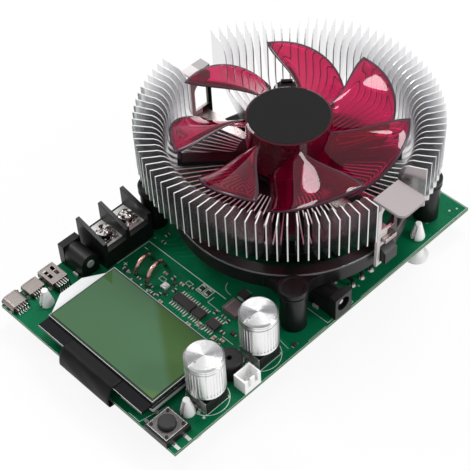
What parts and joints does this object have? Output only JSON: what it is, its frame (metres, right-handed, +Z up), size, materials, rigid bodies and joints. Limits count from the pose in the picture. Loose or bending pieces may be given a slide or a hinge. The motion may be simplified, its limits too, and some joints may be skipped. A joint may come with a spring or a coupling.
{
  "type": "dc electronic load",
  "caption": "Bench dc electronic load: bare circuit board on standoffs with a fan cooled finned heat sink, display, control knobs, jacks, data ports and a screw terminal block",
  "frame": {"origin": "middle of the footprint, at the underside of the feet", "axes": "+X to the right, +Y to the back where the cooler is, +Z up; the display's front edge and ribbon face -Y"},
  "size_m": [0.1226, 0.175, 0.0706],
  "materials": {
    "board_green": "green solder mask with a satin gloss",
    "nylon_white": "milky white nylon",
    "shell_steel": "bright plated sheet steel",
    "plated_metal": "bright tin and nickel plate",
    "black_plastic": "black moulded plastic",
    "foam_grey": "grey foam",
    "backlight_white": "white moulded light guide",
    "display_glass": "clear display glass",
    "display_film": "olive green polarizing film with a smooth gloss",
    "ribbon_black": "black taped ribbon",
    "knob_aluminium": "turned aluminium, spun on top and knurled on the side",
    "copper_wire": "bare copper wire",
    "chip_black": "black moulding compound",
    "diode_grey": "grey moulding compound",
    "ceramic_tan": "fired ceramic with tinned ends",
    "bracket_black": "black satin moulded plastic",
    "fin_aluminium": "bare rolled aluminium sheet",
    "clip_steel": "zinc plated spring steel",
    "magnet_grey": "sintered magnet",
    "fan_red": "clear dark red moulded plastic, polished"
  },
  "bodies": {
    "base": {"circuit_board": "board_green", "standoffs": "nylon_white", "flat_port_shell": "shell_steel", "flat_port_tongue": "black_plastic", "small_port_shell": "shell_steel", "small_port_tongue": "black_plastic", "tall_port_shell": "shell_steel", "tall_port_tongue": "black_plastic", "load_jack_body": "black_plastic", "load_jack_pin": "plated_metal", "supply_jack_body": "black_plastic", "supply_jack_pin": "plated_metal", "terminal_block_body": "black_plastic", "terminal_contacts": "plated_metal", "terminal_clamps": "plated_metal", "lcd_pads": "foam_grey", "lcd_backlight": "backlight_white", "lcd_rear_glass": "display_glass", "lcd_front_glass": "display_glass", "lcd_film": "display_film", "lcd_ribbon": "ribbon_black", "front_pot_body": "black_plastic", "rear_pot_body": "black_plastic", "switch_base": "black_plastic", "switch_leads": "plated_metal", "switch_dome": "plated_metal", "switch_cover": "shell_steel", "buzzer": "black_plastic", "header_shell": "nylon_white", "header_pins": "plated_metal", "current_shunts": "copper_wire", "chip_bodies": "chip_black", "chip_leads": "plated_metal", "power_diode": "diode_grey", "small_parts": "ceramic_tan", "solder_joints": "plated_metal", "transistor_body": "chip_black", "transistor_leads": "plated_metal", "thermal_pad": "foam_grey", "cooler_bracket": "bracket_black", "push_pins": "bracket_black", "heatsink_core": "fin_aluminium", "heatsink_fins": "fin_aluminium", "clip_bar": "clip_steel", "hook_plates": "clip_steel", "lever_pin": "clip_steel", "fan_frame": "bracket_black", "fan_stator": "copper_wire"},
    "fan_rotor": {"fan_shaft": "plated_metal", "rotor_magnet": "magnet_grey", "fan_hub": "fan_red", "fan_blades": "fan_red"},
    "front_control": {"front_pot_shaft": "plated_metal", "front_knob": "knob_aluminium"},
    "rear_control": {"rear_pot_shaft": "plated_metal", "rear_knob": "knob_aluminium"},
    "push_button": {"switch_button": "black_plastic"},
    "lever": {"clip_lever": "clip_steel"},
    "front_screw": {"front_terminal_screw": "plated_metal"},
    "rear_screw": {"rear_terminal_screw": "plated_metal"}
  },
  "joints": [
    {"name": "fan_spin", "type": "hinge", "parent": "base", "child": "fan_rotor", "pos_m": [-0.00233, 0.0275, 0.0566], "axis": [0, 0, 1], "continuous": true},
    {"name": "front_knob_turn", "type": "hinge", "parent": "base", "child": "front_control", "pos_m": [0.03847, -0.0594, 0.0216], "axis": [0, 0, 1], "range_deg": [-150, 150]},
    {"name": "rear_knob_turn", "type": "hinge", "parent": "base", "child": "rear_control", "pos_m": [0.03847, -0.0318, 0.0216], "axis": [0, 0, 1], "range_deg": [-150, 150]},
    {"name": "button_press", "type": "slide", "parent": "base", "child": "push_button", "axis": [0, 0, -1], "range_m": [0, 0.0003], "stiffness_N_per_m": 4000, "springref_m": -0.0001},
    {"name": "lever_lift", "type": "hinge", "parent": "base", "child": "lever", "pos_m": [0.04827, 0.0275, 0.0586], "axis": [0, -1, 0], "range_deg": [0, 90]},
    {"name": "front_screw_turn", "type": "hinge", "parent": "base", "child": "front_screw", "pos_m": [-0.04383, -0.03687, 0.0216], "axis": [0, 0, 1], "range_deg": [0, 1080]},
    {"name": "rear_screw_turn", "type": "hinge", "parent": "base", "child": "rear_screw", "pos_m": [-0.04383, -0.02512, 0.0216], "axis": [0, 0, 1], "range_deg": [0, 1080]}
  ]
}
